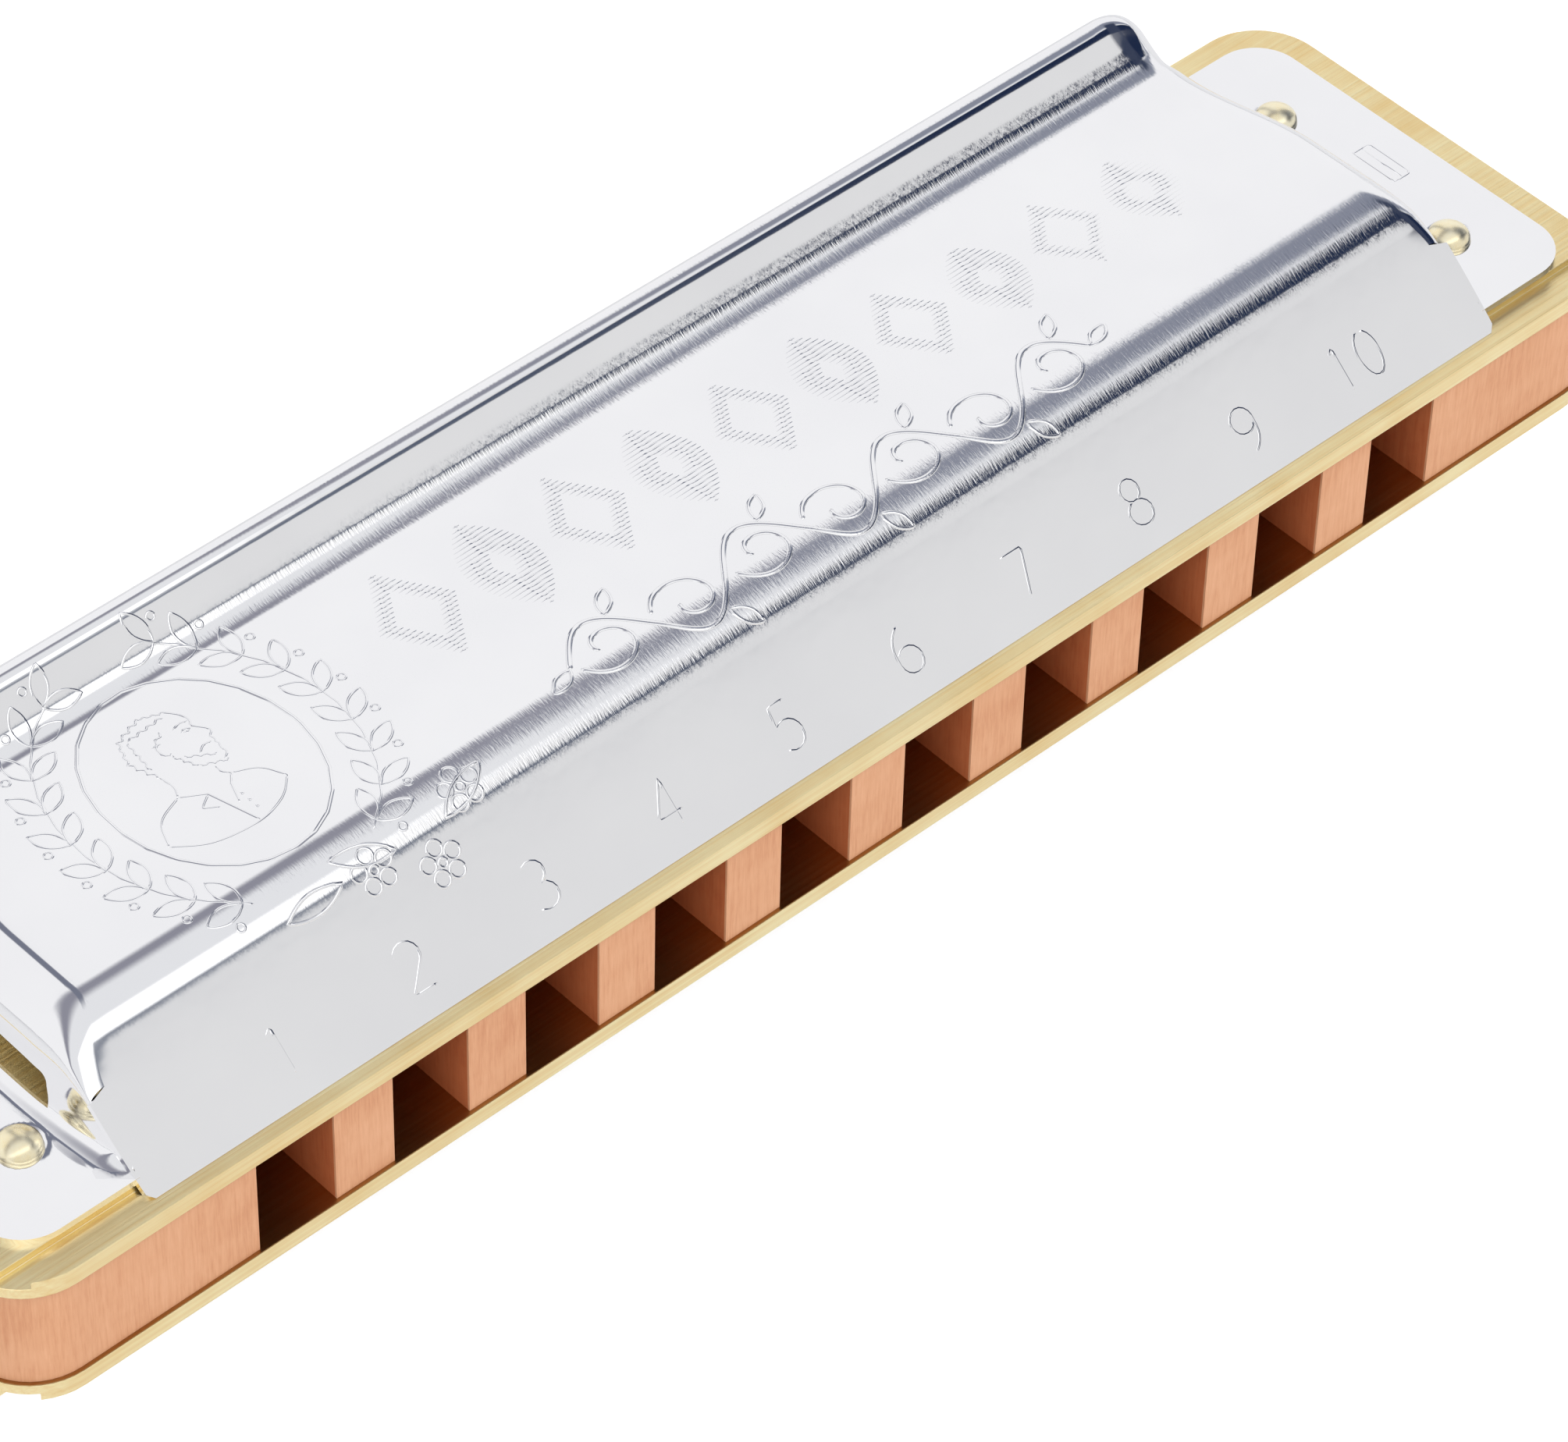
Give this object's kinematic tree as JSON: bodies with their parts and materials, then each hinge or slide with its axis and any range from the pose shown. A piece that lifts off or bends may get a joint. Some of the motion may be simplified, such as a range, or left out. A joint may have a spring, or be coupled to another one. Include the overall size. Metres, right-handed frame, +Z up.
{
  "type": "diatonic harmonica",
  "caption": "Small diatonic mouth organ: wooden comb with square blow holes between brass reed plates, riveted free reeds that flex, and pressed chrome covers nailed on.",
  "frame": {"origin": "centre of the wooden comb, which is also the centre of the whole instrument's box", "axes": "+X along the length from the lowest hole to the highest, -Y towards the player's mouth, +Z up through the upper cover"},
  "size_m": [0.098, 0.0248, 0.0208],
  "materials": {
    "comb_wood": "stained pearwood, satin sealed, fine grain along the length on the front face",
    "plate_brass": "rolled brass sheet, lightly polished, sheared striations on the edges",
    "reed_brass": "milled reed brass, fine lengthwise scratches",
    "nail_brass": "turned brass, polished domed head",
    "cover_chrome": "bright plated sheet with faint brushed streaks across the bends"
  },
  "bodies": {
    "harmonica": {"comb": "comb_wood", "upper_reed_plate": "plate_brass", "lower_reed_plate": "plate_brass", "upper_cover": "cover_chrome", "lower_cover": "cover_chrome", "upper_cover_nails": "nail_brass", "lower_cover_nails": "nail_brass", "upper_plate_nails": "nail_brass", "lower_plate_nails": "nail_brass", "blow_reed_pads": "reed_brass", "draw_reed_pads": "reed_brass", "blow_reed_rivets": "nail_brass", "draw_reed_rivets": "nail_brass"},
    "blow_reed_1": {"blow_reed_1": "reed_brass"},
    "blow_reed_2": {"blow_reed_2": "reed_brass"},
    "blow_reed_3": {"blow_reed_3": "reed_brass"},
    "blow_reed_4": {"blow_reed_4": "reed_brass"},
    "blow_reed_5": {"blow_reed_5": "reed_brass"},
    "blow_reed_6": {"blow_reed_6": "reed_brass"},
    "blow_reed_7": {"blow_reed_7": "reed_brass"},
    "blow_reed_8": {"blow_reed_8": "reed_brass"},
    "blow_reed_9": {"blow_reed_9": "reed_brass"},
    "blow_reed_10": {"blow_reed_10": "reed_brass"},
    "draw_reed_1": {"draw_reed_1": "reed_brass"},
    "draw_reed_2": {"draw_reed_2": "reed_brass"},
    "draw_reed_3": {"draw_reed_3": "reed_brass"},
    "draw_reed_4": {"draw_reed_4": "reed_brass"},
    "draw_reed_5": {"draw_reed_5": "reed_brass"},
    "draw_reed_6": {"draw_reed_6": "reed_brass"},
    "draw_reed_7": {"draw_reed_7": "reed_brass"},
    "draw_reed_8": {"draw_reed_8": "reed_brass"},
    "draw_reed_9": {"draw_reed_9": "reed_brass"},
    "draw_reed_10": {"draw_reed_10": "reed_brass"}
  },
  "joints": [
    {"name": "blow_reed_1_flex", "type": "hinge", "parent": "harmonica", "child": "blow_reed_1", "pos_m": [-0.03375, 0.00575, 0.00265], "axis": [1, 0, 0], "range_deg": [-3, 3], "stiffness_Nm_per_rad": 0.0005},
    {"name": "blow_reed_2_flex", "type": "hinge", "parent": "harmonica", "child": "blow_reed_2", "pos_m": [-0.02625, 0.00516, 0.00265], "axis": [1, 0, 0], "range_deg": [-3.06, 3.06], "stiffness_Nm_per_rad": 0.0005},
    {"name": "blow_reed_3_flex", "type": "hinge", "parent": "harmonica", "child": "blow_reed_3", "pos_m": [-0.01875, 0.00457, 0.00265], "axis": [1, 0, 0], "range_deg": [-3.11, 3.11], "stiffness_Nm_per_rad": 0.0005},
    {"name": "blow_reed_4_flex", "type": "hinge", "parent": "harmonica", "child": "blow_reed_4", "pos_m": [-0.01125, 0.00398, 0.00265], "axis": [1, 0, 0], "range_deg": [-3.17, 3.17], "stiffness_Nm_per_rad": 0.0005},
    {"name": "blow_reed_5_flex", "type": "hinge", "parent": "harmonica", "child": "blow_reed_5", "pos_m": [-0.00375, 0.00339, 0.00265], "axis": [1, 0, 0], "range_deg": [-3.22, 3.22], "stiffness_Nm_per_rad": 0.0005},
    {"name": "blow_reed_6_flex", "type": "hinge", "parent": "harmonica", "child": "blow_reed_6", "pos_m": [0.00375, 0.00281, 0.00265], "axis": [1, 0, 0], "range_deg": [-3.28, 3.28], "stiffness_Nm_per_rad": 0.0005},
    {"name": "blow_reed_7_flex", "type": "hinge", "parent": "harmonica", "child": "blow_reed_7", "pos_m": [0.01125, 0.00222, 0.00265], "axis": [1, 0, 0], "range_deg": [-3.33, 3.33], "stiffness_Nm_per_rad": 0.0005},
    {"name": "blow_reed_8_flex", "type": "hinge", "parent": "harmonica", "child": "blow_reed_8", "pos_m": [0.01875, 0.00163, 0.00265], "axis": [1, 0, 0], "range_deg": [-3.39, 3.39], "stiffness_Nm_per_rad": 0.0005},
    {"name": "blow_reed_9_flex", "type": "hinge", "parent": "harmonica", "child": "blow_reed_9", "pos_m": [0.02625, 0.00104, 0.00265], "axis": [1, 0, 0], "range_deg": [-3.44, 3.44], "stiffness_Nm_per_rad": 0.0005},
    {"name": "blow_reed_10_flex", "type": "hinge", "parent": "harmonica", "child": "blow_reed_10", "pos_m": [0.03375, 0.00045, 0.00265], "axis": [1, 0, 0], "range_deg": [-3.5, 3.5], "stiffness_Nm_per_rad": 0.0005},
    {"name": "draw_reed_1_flex", "type": "hinge", "parent": "harmonica", "child": "draw_reed_1", "pos_m": [-0.03375, -0.00675, -0.00395], "axis": [1, 0, 0], "range_deg": [-3, 3], "stiffness_Nm_per_rad": 0.0005},
    {"name": "draw_reed_2_flex", "type": "hinge", "parent": "harmonica", "child": "draw_reed_2", "pos_m": [-0.02625, -0.00675, -0.00395], "axis": [1, 0, 0], "range_deg": [-3.06, 3.06], "stiffness_Nm_per_rad": 0.0005},
    {"name": "draw_reed_3_flex", "type": "hinge", "parent": "harmonica", "child": "draw_reed_3", "pos_m": [-0.01875, -0.00675, -0.00395], "axis": [1, 0, 0], "range_deg": [-3.11, 3.11], "stiffness_Nm_per_rad": 0.0005},
    {"name": "draw_reed_4_flex", "type": "hinge", "parent": "harmonica", "child": "draw_reed_4", "pos_m": [-0.01125, -0.00675, -0.00395], "axis": [1, 0, 0], "range_deg": [-3.17, 3.17], "stiffness_Nm_per_rad": 0.0005},
    {"name": "draw_reed_5_flex", "type": "hinge", "parent": "harmonica", "child": "draw_reed_5", "pos_m": [-0.00375, -0.00675, -0.00395], "axis": [1, 0, 0], "range_deg": [-3.22, 3.22], "stiffness_Nm_per_rad": 0.0005},
    {"name": "draw_reed_6_flex", "type": "hinge", "parent": "harmonica", "child": "draw_reed_6", "pos_m": [0.00375, -0.00675, -0.00395], "axis": [1, 0, 0], "range_deg": [-3.28, 3.28], "stiffness_Nm_per_rad": 0.0005},
    {"name": "draw_reed_7_flex", "type": "hinge", "parent": "harmonica", "child": "draw_reed_7", "pos_m": [0.01125, -0.00675, -0.00395], "axis": [1, 0, 0], "range_deg": [-3.33, 3.33], "stiffness_Nm_per_rad": 0.0005},
    {"name": "draw_reed_8_flex", "type": "hinge", "parent": "harmonica", "child": "draw_reed_8", "pos_m": [0.01875, -0.00675, -0.00395], "axis": [1, 0, 0], "range_deg": [-3.39, 3.39], "stiffness_Nm_per_rad": 0.0005},
    {"name": "draw_reed_9_flex", "type": "hinge", "parent": "harmonica", "child": "draw_reed_9", "pos_m": [0.02625, -0.00675, -0.00395], "axis": [1, 0, 0], "range_deg": [-3.44, 3.44], "stiffness_Nm_per_rad": 0.0005},
    {"name": "draw_reed_10_flex", "type": "hinge", "parent": "harmonica", "child": "draw_reed_10", "pos_m": [0.03375, -0.00675, -0.00395], "axis": [1, 0, 0], "range_deg": [-3.5, 3.5], "stiffness_Nm_per_rad": 0.0005}
  ]
}
